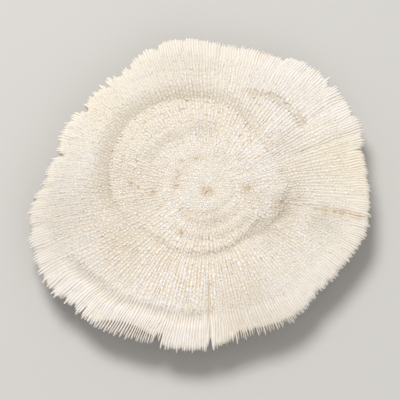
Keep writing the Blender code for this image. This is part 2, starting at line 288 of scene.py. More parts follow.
def sunken(degrees, distance):
    """Depth of the ledge's foot, the growth grooves and the cracks."""
    rim = closed_curve(RIM_POINTS, degrees)
    ledge = closed_curve(LEDGE_POINTS, degrees)
    apron = closed_curve(LEDGE_APRON_POINTS, degrees)
    step = closed_curve(LEDGE_STEP_POINTS, degrees)
    x, y = place(degrees, distance)
    foot = ledge + closed_curve(LEDGE_WANDER_POINTS, degrees) * ripple(x, y, *LEDGE_WAVE)
    depth = closed_curve(LEDGE_DEPTH_POINTS, degrees) * groove(distance - foot, step, apron)
    for share, middle, half_arc, width, groove_depth in GROWTH_GROOVES:
        fade = 1.0 - ramp(np.abs(turn_from(degrees, middle)), half_arc, GROOVE_FADE)
        depth = depth + groove_depth * fade * groove(distance - share * rim, width, GROOVE_OUTER * width)
    for share, middle, half_arc, ring_depth in FAINT_RINGS:
        fade = 1.0 - ramp(np.abs(turn_from(degrees, middle)), half_arc, RING_FADE)
        ring = groove(distance - share * ledge, FAINT_RING_WIDTH, FAINT_RING_WIDTH)
        depth = depth + ring_depth * fade * ring
    for angle, start, half_width, groove_depth, _ in RADIAL_GROOVES:
        aside = distance * np.radians(np.abs(turn_from(degrees, angle)))
        begun = ramp(distance, start, GROOVE_BEGIN * half_width)
        depth = depth + groove_depth * begun * (1.0 - smooth_step(aside / half_width))
    return depth


def spot(dx, dy, radius):
    """1 in the middle of a round spot, falling softly to 0."""
    return np.exp(-(dx ** 2 + dy ** 2) / radius ** 2)


def humps(degrees, distance):
    """Rise of the low humps, below 0 in the hollows."""
    x, y = place(degrees, distance)
    height = np.zeros(np.broadcast(x, y).shape)
    for hump_x, hump_y, radius, rise in HUMPS_AND_HOLLOWS:
        height = height + rise * spot(x - hump_x, y - hump_y, radius)
    return height


def under_height(degrees, distance):
    """Height of the mouth side over the edges of its septa."""
    reach = rim_distance(degrees) - TIP_UNDERCUT - REST_RADIUS
    outside = RIM_UNDER_HEIGHT * np.clip((distance - REST_RADIUS) / reach, 0.0, 1.0) ** UNDER_POWER
    x = distance * np.cos(np.radians(degrees))
    y = distance * np.sin(np.radians(degrees))
    brim = np.hypot(x / MOUTH_BRIM[0], y / MOUTH_BRIM[1])
    floor_share = MOUTH_FLOOR[1] / MOUTH_BRIM[1]
    return outside + MOUTH_DEPTH * smooth_step((1.0 - brim) / (1.0 - floor_share))


def place(degrees, distance):
    """World x and y of polar places around the growth centre."""
    x = GROWTH_CENTRE[0] + distance * np.cos(np.radians(degrees))
    y = GROWTH_CENTRE[1] + distance * np.sin(np.radians(degrees))
    return x, y


def ripple(x, y, size, seed):
    """Smooth noise between about -1 and 1 from a few plane waves of the given wavelength."""
    random = np.random.default_rng(seed)
    total = np.zeros(np.broadcast(x, y).shape)
    for _ in range(RIPPLE_WAVES):
        heading = random.uniform(0.0, 2.0 * np.pi)
        length = size * random.uniform(*RIPPLE_LENGTHS)
        phase = random.uniform(0.0, 2.0 * np.pi)
        total += np.sin((x * np.cos(heading) + y * np.sin(heading)) * 2.0 * np.pi / length + phase)
    return total / np.sqrt(RIPPLE_WAVES)


# Thickness and relief of the wall, ribs and septa
WALL_THICKNESS_CENTRE = 3.2
WALL_THICKNESS_RIM = 1.3
RIB_RISE_INNER = 0.60
RIB_RISE_CHANGE = (0.16, 4.5, 75)  # its variation: share, size, seed
RIB_RISE_RAMP = (0.50, 0.35)
# How far the ribs stand up near the rim: angle, height
RIB_RISE_POINTS = (
    (0, 0.42), (45, 0.45), (75, 0.42), (95, 0.34), (130, 0.20), (190, 0.22), (205, 0.28), (225, 0.50),
    (270, 0.55), (310, 0.50), (340, 0.42),
)
# Radial folds of the rim: angle, depth
FOLD_POINTS = (
    (0, 0.5), (45, 0.7), (90, 0.4), (130, 0.5), (160, 0.8), (185, 1.7), (215, 2.1), (232, 0.6), (260, 0.2),
    (300, 0.3), (330, 0.5),
)
FOLD_WAVE = (5.0, 44)  # size, seed
FOLD_RAMP = (0.82, 0.15)
FOLD_POWER = 1.5
FOLD_SHORTFALL = 0.6  # by how much a plate falls short for each millimetre that the fold dips
LEAST_GAP = 1.2  # by which even closely joined plates stand out past the wall
GAP_COVER = 0.9
JAG_COVER = 0.8  # share of the tips' unevenness by which the wall stays back, and a margin
JAG_MARGIN = 0.4


def rib_rise(degrees, distance):
    """How far ribs and grains stand up from the wall's face."""
    change, size, seed = RIB_RISE_CHANGE
    inner = RIB_RISE_INNER * (1.0 + change * ripple(*place(degrees, distance), size, seed))
    outer = closed_curve(RIB_RISE_POINTS, degrees)
    return blend(inner, outer, ramp(rim_share(degrees, distance), *RIB_RISE_RAMP))


def fold_depth(degrees, distance):
    """How far the rim dips between its radial folds."""
    around = np.radians(degrees)
    fold = ripple(MEAN_RIM * np.cos(around), MEAN_RIM * np.sin(around), *FOLD_WAVE)
    strength = closed_curve(FOLD_POINTS, degrees) * ramp(rim_share(degrees, distance), *FOLD_RAMP)
    return strength * (0.5 - 0.5 * np.clip(fold, -1.0, 1.0)) ** FOLD_POWER


def crest_height(degrees, distance):
    """Height of the ribs' crests, lower in the folds of the rim."""
    return top_height(degrees, distance) - fold_depth(degrees, distance)


def wall_face(degrees, distance):
    """Height of the wall between the ribs and grains."""
    return crest_height(degrees, distance) - rib_rise(degrees, distance)


def wall_edge(degrees):
    """Distance at which the wall ends and the plates stand out alone."""
    gap = np.maximum(closed_curve(GAP_POINTS, degrees) - GAP_COVER, LEAST_GAP)
    gap = np.maximum(gap, JAG_COVER * closed_curve(JAG_POINTS, degrees) + JAG_MARGIN)
    rim = plate_rim(degrees)
    return rim - gap - FOLD_SHORTFALL * fold_depth(degrees, rim)


def wall_thickness(degrees, distance):
    return blend(WALL_THICKNESS_CENTRE, WALL_THICKNESS_RIM, smooth_step(rim_share(degrees, distance)))


def plate_layout():
    """Cycle and starting distance of each plate in its order around the skeleton."""
    random = np.random.default_rng(LAYOUT_SEED)
    cycle = np.zeros(PLATE_COUNT, dtype=int)
    start = np.zeros(PLATE_COUNT)
    for number, (first, every) in enumerate(PLACE_OF_CYCLE):
        cycle[first::every] = number
    for number, (count, low, high) in enumerate(CYCLES):
        shake = random.uniform(-START_SHAKE, START_SHAKE, count)
        order = np.mod(np.arange(count) * EVEN_SPREAD + shake, 1.0)
        start[cycle == number] = low + (high - low) * order
    rim = rim_distance((np.arange(PLATE_COUNT) + 0.5) * 360.0 / PLATE_COUNT)
    return cycle, np.minimum(start * rim / MEAN_RIM, rim - SHORTEST_PLATE)


PLATE_CYCLE, PLATE_START = plate_layout()


def giving_way(away, reach):
    return np.sign(away) * np.exp(-(away / reach) ** 2)


def plate_tracks():
    """Table of each plate's angle at a row of distances, so that plates keep an even spacing."""
    random = np.random.default_rng(LAYOUT_SEED + 1)
    strength = random.uniform(0.75, 1.25, PLATE_COUNT)
    distances = np.linspace(0.0, LONGEST_DISTANCE, int(LONGEST_DISTANCE / TRACK_STEP) + 1)
    growth = np.array(PLATE_GROWTH)[PLATE_CYCLE][:, None]
    grown = smooth_step((distances - PLATE_START[:, None] + EARLY_GROWTH * growth) / growth)
    weight = np.maximum(grown * strength[:, None], 1e-4)
    before = (np.cumsum(weight, axis=0) - 0.5 * weight) / weight.sum(axis=0)
    even = (np.arange(PLATE_COUNT)[:, None] + 0.5) / PLATE_COUNT
    waves = np.fft.rfftfreq(PLATE_COUNT)[:, None] * NEIGHBOURHOOD
    uneven = np.fft.rfft(before - even, axis=0)
    local = np.fft.irfft(uneven * (1.0 - np.exp(-waves ** 2)), PLATE_COUNT, axis=0)
    angles = 360.0 * (even + local)
    x, y = place(angles, distances)
    aside = sum(sway * ripple(x, y, size, seed) for sway, size, seed in SWAYS)
    share = rim_share(angles, distances)
    aside += FAN_SWAY * ramp(share, *FAN_RAMP) * ripple(x, y, *FAN_WAVE)
    at_rim = ramp(share, *PARTING_RAMP)
    for angle, _, depth in RIM_NOTCHES + FINE_NOTCHES:
        near = giving_way(distances * np.radians(turn_from(angles, angle)), NOTCH_REACH)
        aside += NOTCH_PARTING * max(depth, 0.0) * at_rim * near
    for angle, begin, _, _, parting in RADIAL_GROOVES:
        near = giving_way(distances * np.radians(turn_from(angles, angle)), CRACK_REACH)
        aside += parting * ramp(distances, begin, CRACK_BEGIN) * near
    angles += np.degrees(aside / np.maximum(distances, INNERMOST))
    return distances, angles


TRACK_DISTANCES, TRACK_ANGLES = plate_tracks()


def plate_room():
    """Width that each plate has at each distance, from the plates beside it that have begun."""
    room = np.full(TRACK_ANGLES.shape, LEAST_ROOM)
    fewest = 3
    for column, distance in enumerate(TRACK_DISTANCES):
        begun = np.nonzero(PLATE_START < distance + EARLY_ROOM)[0]
        if len(begun) < fewest:
            continue
        angles = TRACK_ANGLES[begun, column]
        wide = np.mod(np.roll(angles, -1) - np.roll(angles, 1), 360.0)
        room[begun, column] = 0.5 * np.radians(wide) * distance
    return np.clip(room, LEAST_ROOM, MOST_ROOM)


PLATE_ROOM = plate_room()


def room_at(plate, distance):
    return np.interp(distance, TRACK_DISTANCES, PLATE_ROOM[plate])


def past_beads(degrees, distance):
    """0 where rows of beads sit on the ribs, 1 where the ribs run smooth to the rim."""
    beyond = rim_share(degrees, distance) - closed_curve(BEAD_END_POINTS, degrees)
    return smooth_step(beyond / BEAD_END_WIDTH + 0.5)


def track_angle(plate, distance):
    return np.interp(distance, TRACK_DISTANCES, TRACK_ANGLES[plate])


def make_piece(name, points, face_groups, depth, material):
    """Mesh object from millimetre points, arrays of faces and a value from cleft (0) to crest (1), which
    paints shade and tan into the clefts.
    """
    mesh = bpy.data.meshes.new(name)
    corners = np.concatenate([faces.ravel() for faces in face_groups]).astype(np.int32)
    sizes = np.concatenate([np.full(len(faces), faces.shape[1]) for faces in face_groups])
    starts = np.concatenate(([0], np.cumsum(sizes)[:-1])).astype(np.int32)
    mesh.vertices.add(len(points))
    mesh.vertices.foreach_set("co", (points * MM).astype(np.float32).ravel())
    mesh.loops.add(len(corners))
    mesh.loops.foreach_set("vertex_index", corners)
    mesh.polygons.add(len(sizes))
    mesh.polygons.foreach_set("loop_start", starts)
    mesh.update(calc_edges=True)
    mesh.validate()
    mesh.shade_smooth()
    x, y = points[:, 0], points[:, 1]
    # Painted shade: the cleft value darkens the clefts, and a second value paints shade, with some dust,
    # into hollows and grooves
    for layer_name, values in (("depth", depth), ("stain", patch_value(x, y, STAINS)),
                               ("warm", patch_value(x, y, WARM_PATCHES)), ("shade_and_dust", painted_shade_and_dust(x, y)),
                               ("amber", patch_value(x, y, AMBER_PATCHES)),
                               ("fleck", fleck_share(x, y))):
        layer = mesh.attributes.new(layer_name, "FLOAT", "POINT")
        layer.data.foreach_set("value", values.astype(np.float32))
    mesh.materials.append(material)
    piece = bpy.data.objects.new(name, mesh)
    bpy.context.scene.collection.objects.link(piece)
    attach(piece, "root")
    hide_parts("coral_skeleton")


def ring_faces(inner, outer):
    """Faces between neighbouring rings of point numbers of equal, double or half count, or of one."""
    if len(outer) < len(inner):
        return ring_faces(outer, inner)[:, ::-1]
    after_inner = np.roll(inner, -1)
    after_outer = np.roll(outer, -1)
    if len(inner) == 1:
        return np.stack((np.full(len(outer), inner[0]), outer, after_outer), axis=1)
    if len(inner) == len(outer):
        return np.stack((inner, outer, after_outer, after_inner), axis=1)
    half_way = outer[1::2]
    return np.concatenate((
        np.stack((inner, outer[::2], half_way), axis=1),
        np.stack((inner, half_way, after_inner), axis=1),
        np.stack((after_inner, half_way, np.roll(outer[::2], -1)), axis=1)))


# Points in a ring of the wall: share of the wall's reach up to which it has them, count
WALL_RING_COUNTS = ((0.10, 60), (0.24, 120), (0.52, 240), (2.0, 480))
WALL_STEPS_TOP = 104
WALL_STEPS_UNDER = 46
WALL_RIPPLES = ((0.07, 2.6, 71), (0.05, 1.3, 72))  # height, size, seed
WALL_ROUNDING = 1.4
WALL_BLUNTNESS = 0.96
WALL_SHADE = (0.14, 0.36)  # painted shade and tan of the wall in the clefts: cleft (0) to crest (1), inside and near the rim
WALL_SHADE_RAMP = (0.55, 0.3)
WALL_SHADE_RIPPLE = (0.10, 1.8, 73)  # share, size, seed
WALL_BACK_SHADE = 0.6  # share of it in the later half of the points, with the wall's back, which is painted in shade between the septa


def wall_ring(share, side):
    """Ring of the wall's face (side 1) or of its back between the septa (side -1)."""
    count = next(count for limit, count in WALL_RING_COUNTS if share < limit)
    degrees = np.arange(count) * 360.0 / count
    edge = wall_edge(degrees)
    distance = share * edge
    x, y = place(degrees, distance)
    face = wall_face(degrees, distance)
    for height, size, seed in WALL_RIPPLES:
        face = face + height * ripple(x, y, size, seed)
    thickness = wall_thickness(degrees, distance)
    rounding = 1.0 - np.clip((edge - distance) / WALL_ROUNDING, 0.0, 1.0)
    bulge = 0.5 * thickness * (1.0 - np.sqrt(1.0 - WALL_BLUNTNESS * rounding ** 2))
    height = face - bulge if side > 0 else face - thickness + bulge
    return np.stack((x, y, height), axis=1)


def make_wall(material):
    middle = wall_face(0.0, 0.0)
    rings = [np.array([[*GROWTH_CENTRE, middle]])]
    rings += [wall_ring(share, 1) for share in np.linspace(0.0, 1.0, WALL_STEPS_TOP + 1)[1:]]
    rings += [wall_ring(share, -1) for share in np.linspace(1.0, 0.0, WALL_STEPS_UNDER + 1)[:-1]]
    rings.append(np.array([[*GROWTH_CENTRE, middle - WALL_THICKNESS_CENTRE]]))
    counts = [len(ring) for ring in rings]
    numbers = np.split(np.arange(sum(counts)), np.cumsum(counts)[:-1])
    triangles = []
    quads = []
    for inner, outer in zip(numbers[:-1], numbers[1:]):
        faces = ring_faces(inner, outer)
        (quads if faces.shape[1] == 4 else triangles).append(faces)
    points = np.concatenate(rings)
    x, y = points[:, 0], points[:, 1]
    # Painted shade and tan: the wall lies low in the clefts between the ribs
    change, size, seed = WALL_SHADE_RIPPLE
    depth = blend(*WALL_SHADE, ramp(rim_share(*polar(x, y)), *WALL_SHADE_RAMP))
    depth += change * ripple(x, y, size, seed)
    # Painted shade on the wall's back, between the septa
    depth[len(points) // 2:] *= WALL_BACK_SHADE
    make_piece("wall", points, [np.concatenate(quads), np.concatenate(triangles)], depth, material)


# Plates, each a rib above the wall and a septum below it
PLATE_SEED = 23
PLATE_PIECES = 6
PLATE_STEP = 0.62
LEAST_STEPS = 8
LAST_STATIONS = (1.1, 0.7, 0.3, 0.0)  # distances of the last cross-sections from a plate's tip
GROWING_LENGTH = 3.5  # length over which a rib rises out of the wall at its start
SEPTUM_START = 7.0  # the same for the septum below it
JAG_POWER = 1.7
CYCLE_SHORTFALL = (0.0, 0.0, 0.0, 0.1, 0.3)  # how far the plates of each cycle stop before the rim
CYCLE_DROP = (0.0, 0.0, 0.8, 1.9, 3.6)  # how far their septa stay behind the largest ones
CYCLE_DROP_RAMP = (8.0, 14.0)
BEADED_STAND = 0.44  # height of a rib under its beads, as a share
# Painted shade on the ribs below their beads: share of their lightness that they keep
BEADED_SHADE = 0.52
BEADED_RAMP = (-9.0, 18.0)
BURIED_SHARE = 0.45  # share of the wall's thickness that new ribs start below its face
BUMP_ROUGHNESS = 0.04
BUMP_HEIGHT = 0.07
BUMPS_WORN = 0.7
TOOTH_HEIGHT = 0.38
TIP_ROUNDING = 2.2
TIP_BLUNTNESS = 0.05
# Width of a rib as a share of its room, inside and at the rim
RIB_WIDTH = (0.80, 0.84)
RIB_WIDTH_RAMP = (0.82, 0.12)
OPEN_GAP = (1.8, 2.0)  # length of a gap from which plates get thinner, and over which they do
OPEN_WIDTH = 0.52
OPEN_RAMP = (0.84, 0.12)
START_WIDTH = 0.5
TIP_WIDTH = 0.25
SEPTUM_WIDTH = 0.42
SEPTUM_TIP_WIDTH = 0.6
CREST_HEIGHT = 0.42  # from a rib's crest down to its full width
EDGE_TAPER = 0.55  # from a septum's edge up to its full width
TAPER_SHARE = 0.3  # most of a plate's height that either can take
SHOULDER_DROP = 0.28
LEAST_TALL = 0.3
# Cross-section from the crest around: place across it, part of the septum or not, cleft (0) to crest (1)
# with painted shade on the sides
SECTION = ((0.0, 0, 1.0), (-0.30, 0, 0.84), (-0.5, 0, 0.36), (-0.5, 1, 0.50), (0.0, 1, 0.9), (0.5, 1, 0.50),
           (0.5, 0, 0.36), (0.30, 0, 0.84))
ACROSS, IN_SEPTUM, SECTION_SHADE = np.array(SECTION).T


def plate_points(plate, random):
    """Cross-sections of one plate from its inner end to its tip."""
    cycle = PLATE_CYCLE[plate]
    inner = PLATE_START[plate]
    end_angle = track_angle(plate, MEAN_RIM)
    shortfall = closed_curve(JAG_POINTS, end_angle) * random.uniform(0.0, 1.0) ** JAG_POWER
    shortfall += CYCLE_SHORTFALL[cycle]
    tip = plate_rim(end_angle)
    tip = tip - shortfall - FOLD_SHORTFALL * fold_depth(end_angle, tip)
    ends = tip - np.array(LAST_STATIONS)
    steps = max(int((tip - inner) / PLATE_STEP), LEAST_STEPS)
    distance = np.concatenate((np.linspace(inner, ends[0], steps), ends[1:]))
    degrees = track_angle(plate, distance)
    share = rim_share(degrees, distance)
    rise = rib_rise(degrees, distance)
    face = crest_height(degrees, distance) - rise
    grown = ramp(distance, inner, GROWING_LENGTH)
    plate_height = random.uniform(0.72, 1.0)
    past_start = distance - closed_curve(RIB_START_POINTS, degrees)
    smooth_rib = past_beads(degrees, distance)
    stand = np.maximum(BEADED_STAND * ramp(past_start, *BEADED_RAMP), smooth_rib)
    buried = face - BURIED_SHARE * wall_thickness(degrees, distance)
    bumps = BUMP_ROUGHNESS * random.standard_normal(len(distance))
    length = random.uniform(1.7, 2.4)
    bumps += BUMP_HEIGHT * np.sin(distance * 2.0 * np.pi / length + random.uniform(0.0, 6.0))
    bumps *= 1.0 - BUMPS_WORN * smooth_rib
    top = blend(buried, face + rise * stand * plate_height, grown) + bumps * grown
    edge = under_height(degrees, distance) + CYCLE_DROP[cycle] * ramp(distance, *CYCLE_DROP_RAMP)
    edge = blend(edge, np.maximum(buried, edge), 1.0 - ramp(distance, inner, SEPTUM_START))
    teeth = np.arange(len(distance)) % 2 * TOOTH_HEIGHT
    edge = edge + teeth * random.uniform(0.6, 1.2, len(distance))
    near_tip = np.clip((tip - distance) / TIP_ROUNDING, 0.0, 1.0)
    round_share = np.sqrt(np.clip(1.0 - (1.0 - near_tip) ** 2, TIP_BLUNTNESS, 1.0))
    middle = 0.5 * (top + edge)
    top = middle + (top - middle) * round_share - TIP_DROP * (1.0 - round_share)
    edge = middle - (middle - edge) * round_share
    open_share = np.clip((closed_curve(GAP_POINTS, end_angle) - OPEN_GAP[0]) / OPEN_GAP[1], 0.0, 1.0)
    open_share = open_share * ramp(share, *OPEN_RAMP)
    width = room_at(plate, distance) * blend(*RIB_WIDTH, ramp(share, *RIB_WIDTH_RAMP))
    width = width * blend(1.0, OPEN_WIDTH, open_share)
    width = width * random.uniform(0.90, 1.08)
    width = width * blend(START_WIDTH, 1.0, grown) * blend(TIP_WIDTH, 1.0, round_share)
    septum_width = SEPTUM_WIDTH * blend(SEPTUM_TIP_WIDTH, 1.0, round_share)
    tall = np.maximum(top - edge, LEAST_TALL)
    crest_drop = np.minimum(CREST_HEIGHT, TAPER_SHARE * tall)
    full = top - crest_drop
    shoulder = top - SHOULDER_DROP * crest_drop
    low = edge + np.minimum(EDGE_TAPER, TAPER_SHARE * tall)
    heights = np.stack((top, shoulder, full, low, edge, low, full, shoulder), axis=1)
    side = ACROSS * np.where(IN_SEPTUM > 0.0, septum_width[:, None], width[:, None])
    x, y = place(degrees, distance)
    heading = np.radians(degrees)
    px = x[:, None] - np.sin(heading)[:, None] * side
    py = y[:, None] + np.cos(heading)[:, None] * side
    points = np.stack((px, py, heights), axis=2).reshape(-1, 3)
    # Painted shade: light crests, darker sides, darker still under the beads
    depth = SECTION_SHADE * blend(BEADED_SHADE, 1.0, smooth_rib)[:, None]
    return points, depth.ravel(), len(distance)


def tube_faces(first, stations, around):
    """Side faces of a run of cross-sections, and its two end caps."""
    row = first + np.arange(stations - 1)[:, None] * around
    here = row + np.arange(around)[None, :]
    beside = row + (np.arange(around)[None, :] + 1) % around
    sides = np.stack((here, beside, beside + around, here + around), axis=2).reshape(-1, 4)
    last = first + (stations - 1) * around
    caps = np.stack((first + np.arange(around)[::-1], last + np.arange(around)))
    return sides, caps


def make_plates(material):
    random = np.random.default_rng(PLATE_SEED)
    for group in range(PLATE_PIECES):
        points, depths, sides, caps = [], [], [], []
        first = 0
        for plate in range(group * PLATE_COUNT // PLATE_PIECES, (group + 1) * PLATE_COUNT // PLATE_PIECES):
            plate_xyz, plate_depth, stations = plate_points(plate, random)
            plate_sides, plate_caps = tube_faces(first, stations, len(SECTION))
            points.append(plate_xyz)
            depths.append(plate_depth)
            sides.append(plate_sides)
            caps.append(plate_caps)
            first += len(plate_xyz)
        make_piece("septa_and_ribs_%d" % (group + 1), np.concatenate(points),
                   [np.concatenate(sides), np.concatenate(caps)], np.concatenate(depths), material)


# Grains of the underside
GRAIN_SEED = 31
GRAIN_PIECES = 3
GRAIN_MARGIN = 1.5
# Patches where the grains stand without order: x, y, radius, strength
ROUGH_PATCHES = ((36, -12, 15, 1), (47, -19, 12, 0.9), (24, -3, 9, 0.8), (-40, -14, 14, 0.6))
# Grains in rows: where they begin and end, and how they spread towards the ribs
ROW_BEGIN_CHANGE = 2.5
ROW_END = 82.0
ROW_ANGLE_DISTANCE = 50.0
ROW_STRETCH = 1.14
ROW_STRETCH_RAMP = (-24.0, 26.0)
LOOSE_RAMP = (-26.0, 24.0)
# Their measures in firm rows and in loose ones, and what rough patches add
ROW_ASIDE = (0.10, 0.30)
ROUGH_ASIDE = 0.35
ROW_SIZE = (-0.02, 0.14)  # mean and spread of the logarithm
ROW_MOST_ROOM = 1.75
ROW_LENGTH = (1.45, 1.12)
ROW_WIDTH = (0.90, 0.84)
ROW_LOWEST = (0.74, 0.60)
ROW_HIGHEST = 0.94
ROW_TURN = (0.08, 0.28)
ROUGH_TURN = 0.5
# Small grains between the rows
VALLEY_COUNT = 2400
VALLEY_REACH = (0.03, 0.62)  # squares of the shares of the rim's distance
# Grains packed over the middle
MIDDLE_RADIUS = 13.0
MIDDLE_SPACING = 1.28
MIDDLE_ROW = 0.9
MIDDLE_SHAKE = 0.28
# Shape of a grain: height, length and width of its foot and shoulder, and how far its top leans out
GRAIN_LEVELS = ((-0.35, 1.05, 1.05), (0.60, 0.80, 0.66))
GRAIN_LEAN = 0.06
GRAIN_LEAN_CHANGE = 0.10
GRAIN_SHADES = (0.05, 0.66)  # painted shade from cleft (0) to crest (1) at foot and shoulder, darkest at the foot
SLOPE_STEP = 0.25
DOME_SIDES = 6


def row_grains(random):
    """Places and sizes of the grains that sit in rows on the ribs."""
    columns = []
    for plate in range(PLATE_COUNT):
        centre = MIDDLE_RADIUS + random.uniform(-ROW_BEGIN_CHANGE, ROW_BEGIN_CHANGE)
        begin = max(PLATE_START[plate] - GROWING_LENGTH, centre)
        rib_start = closed_curve(RIB_START_POINTS, track_angle(plate, ROW_ANGLE_DISTANCE))
        reach = [begin + random.uniform(0.0, 1.2)]
        while reach[-1] < ROW_END:
            stretch = blend(1.0, ROW_STRETCH, ramp(reach[-1] - rib_start, *ROW_STRETCH_RAMP))
            even_length = room_at(plate, reach[-1]) * stretch
            reach.append(reach[-1] + even_length * random.uniform(0.78, 1.30))
        distance = np.array(reach)
        degrees = track_angle(plate, distance)
        kept = random.random(len(distance)) > past_beads(degrees, distance)
        distance, degrees = distance[kept], degrees[kept]
        rough = patch_value(*place(degrees, distance), ROUGH_PATCHES)
        loose = np.maximum(1.0 - ramp(distance - rib_start, *LOOSE_RAMP), rough)
        count = len(distance)
        aside = random.uniform(-1.0, 1.0, count) * (blend(*ROW_ASIDE, loose) + ROUGH_ASIDE * rough)
        degrees = degrees + np.degrees(aside / distance)
        size = random.lognormal(*ROW_SIZE, count)
        room = np.minimum(room_at(plate, distance), ROW_MOST_ROOM)
        length = room * blend(*ROW_LENGTH, loose) * size * random.uniform(0.85, 1.25, count)
        width = room * blend(*ROW_WIDTH, loose) * size
        high = random.uniform(blend(*ROW_LOWEST, loose), ROW_HIGHEST)
        turn = random.standard_normal(count) * (blend(*ROW_TURN, loose) + ROUGH_TURN * rough)
        columns.append(np.stack((degrees, distance, length, width, high, turn), axis=1))
    return np.concatenate(columns)


def scattered(degrees, distance, length, random, widths, heights, turns):
    """Grains outside the rows, with their widths and heights between two shares."""
    count = len(degrees)
    width = length * random.uniform(*widths, count)
    high = random.uniform(*heights, count)
    turn = random.normal(0.0, turns, count)
    return np.stack((degrees, distance, length, width, high, turn), axis=1)


def valley_grains(random):
    """Small grains scattered between the rows."""
    degrees = random.uniform(0.0, 360.0, VALLEY_COUNT)
    share = np.sqrt(random.uniform(*VALLEY_REACH, VALLEY_COUNT))
    distance = share * closed_curve(RIM_POINTS, degrees)
    length = random.uniform(0.7, 1.2, VALLEY_COUNT)
    return scattered(degrees, distance, length, random, widths=(0.75, 1.0), heights=(0.5, 0.8),
                     turns=0.4)


def centre_grains(random):
    """Grains packed without rows over the middle, on a shaken hexagonal lattice."""
    places = []
    steps = int(MIDDLE_RADIUS / (MIDDLE_ROW * MIDDLE_SPACING)) + 1
    for row in range(-steps, steps + 1):
        for column in range(-steps, steps + 1):
            shake = random.uniform(-MIDDLE_SHAKE, MIDDLE_SHAKE, 2)
            x = MIDDLE_SPACING * (column + 0.5 * (row % 2) + shake[0])
            y = MIDDLE_SPACING * (MIDDLE_ROW * row + shake[1])
            if math.hypot(x, y) < MIDDLE_RADIUS:
                places.append((x, y))
    x, y = np.array(places).T
    length = 1.45 * random.lognormal(-0.03, 0.16, len(places))
    return scattered(np.degrees(np.arctan2(y, x)), np.hypot(x, y), length, random,
                     widths=(0.66, 0.90), heights=(0.50, 0.86), turns=0.6)


def dome_faces(count, downward=False):
    """Sides, cones and feet of closed domes, each with two rings of points and one at its end."""
    first = np.arange(count)[:, None] * (2 * DOME_SIDES + 1)
    here = first + np.arange(DOME_SIDES)
    beside = np.roll(here, -1, axis=1)
    feet = here if downward else here[:, ::-1]
    if downward:
        here, beside = beside, here
    sides = np.stack((here, beside, beside + DOME_SIDES, here + DOME_SIDES), axis=2).reshape(-1, 4)
    ends = np.broadcast_to(first + 2 * DOME_SIDES, here.shape)
    cones = np.stack((here + DOME_SIDES, beside + DOME_SIDES, ends), axis=2).reshape(-1, 3)
    return [sides, cones, feet]


def dome_shades(count, foot, shoulder):
    """Values from cleft (0) to crest (1) for the points of closed domes: painted shade, darkest at their
    feet.
    """
    return np.tile([foot] * DOME_SIDES + [shoulder] * DOME_SIDES + [1.0], (count, 1))


def dome_angles():
    return np.arange(DOME_SIDES) * 2.0 * np.pi / DOME_SIDES


def grain_mesh(grains, random):
    """Closed domes: a ring at the foot, a ring at the shoulder and a top point each."""
    degrees, distance, length, width, high, turn_aside = grains.T
    step = SLOPE_STEP
    base = wall_face(degrees, distance)
    rise = rib_rise(degrees, distance) * high
    slope_out = (wall_face(degrees, distance + step) - wall_face(degrees, distance - step)) / (2.0 * step)
    turn = np.degrees(step / np.maximum(distance, 2.0 * step))
    slope_side = (wall_face(degrees + turn, distance) - wall_face(degrees - turn, distance)) / (2.0 * step)
    x, y = place(degrees, distance)
    heading = np.radians(degrees) + turn_aside
    along = np.cos(dome_angles()) * 0.5 * length[:, None]
    across = np.sin(dome_angles()) * 0.5 * width[:, None]
    lean = GRAIN_LEAN_CHANGE * random.standard_normal(len(degrees)) + GRAIN_LEAN
    levels = []
    for level, long_share, wide_share in GRAIN_LEVELS:
        out = along * long_share + (lean * max(level, 0.0))[:, None]
        side = across * wide_share
        px = x[:, None] + out * np.cos(heading)[:, None] - side * np.sin(heading)[:, None]
        py = y[:, None] + out * np.sin(heading)[:, None] + side * np.cos(heading)[:, None]
        pz = base[:, None] + level * rise[:, None] + slope_out[:, None] * out + slope_side[:, None] * side
        levels.append(np.stack((px, py, pz), axis=2))
    top_x = x + lean * np.cos(heading)
    top_y = y + lean * np.sin(heading)
    levels.append(np.stack((top_x, top_y, base + rise + slope_out * lean), axis=1)[:, None, :])
    points = np.concatenate(levels, axis=1).reshape(-1, 3)
    bright = random.uniform(0.82, 1.0, len(degrees))
    depth = dome_shades(len(degrees), *GRAIN_SHADES) * bright[:, None]
    return points, dome_faces(len(degrees)), depth.ravel()


def make_grains(material):
    random = np.random.default_rng(GRAIN_SEED)
    grains = np.concatenate((row_grains(random), centre_grains(random), valley_grains(random)))
    grains = grains[grains[:, 1] < wall_edge(grains[:, 0]) - GRAIN_MARGIN]
    sector = (np.mod(grains[:, 0], 360.0) // (360.0 / GRAIN_PIECES)).astype(int)
    for number in range(GRAIN_PIECES):
        points, faces, depth = grain_mesh(grains[sector == number], random)
        make_piece("grains_%d" % (number + 1), points, faces, depth, material)


# Columella: small cones that point down from the floor of the mouth
COLUMELLA_SEED = 57
COLUMELLA_REACH = (1.05, 1.25)  # along and across the mouth, in shares of its floor
CONE_END = 0.2  # height of the ends over the mouth's floor, in the middle
CONE_END_RISE = 1.8
CONE_LENGTH = 17.0
CONE_LENGTH_LOSS = 2.0
CONE_SHOULDER = (0.5, 0.9)  # height over the end, and share of the radius


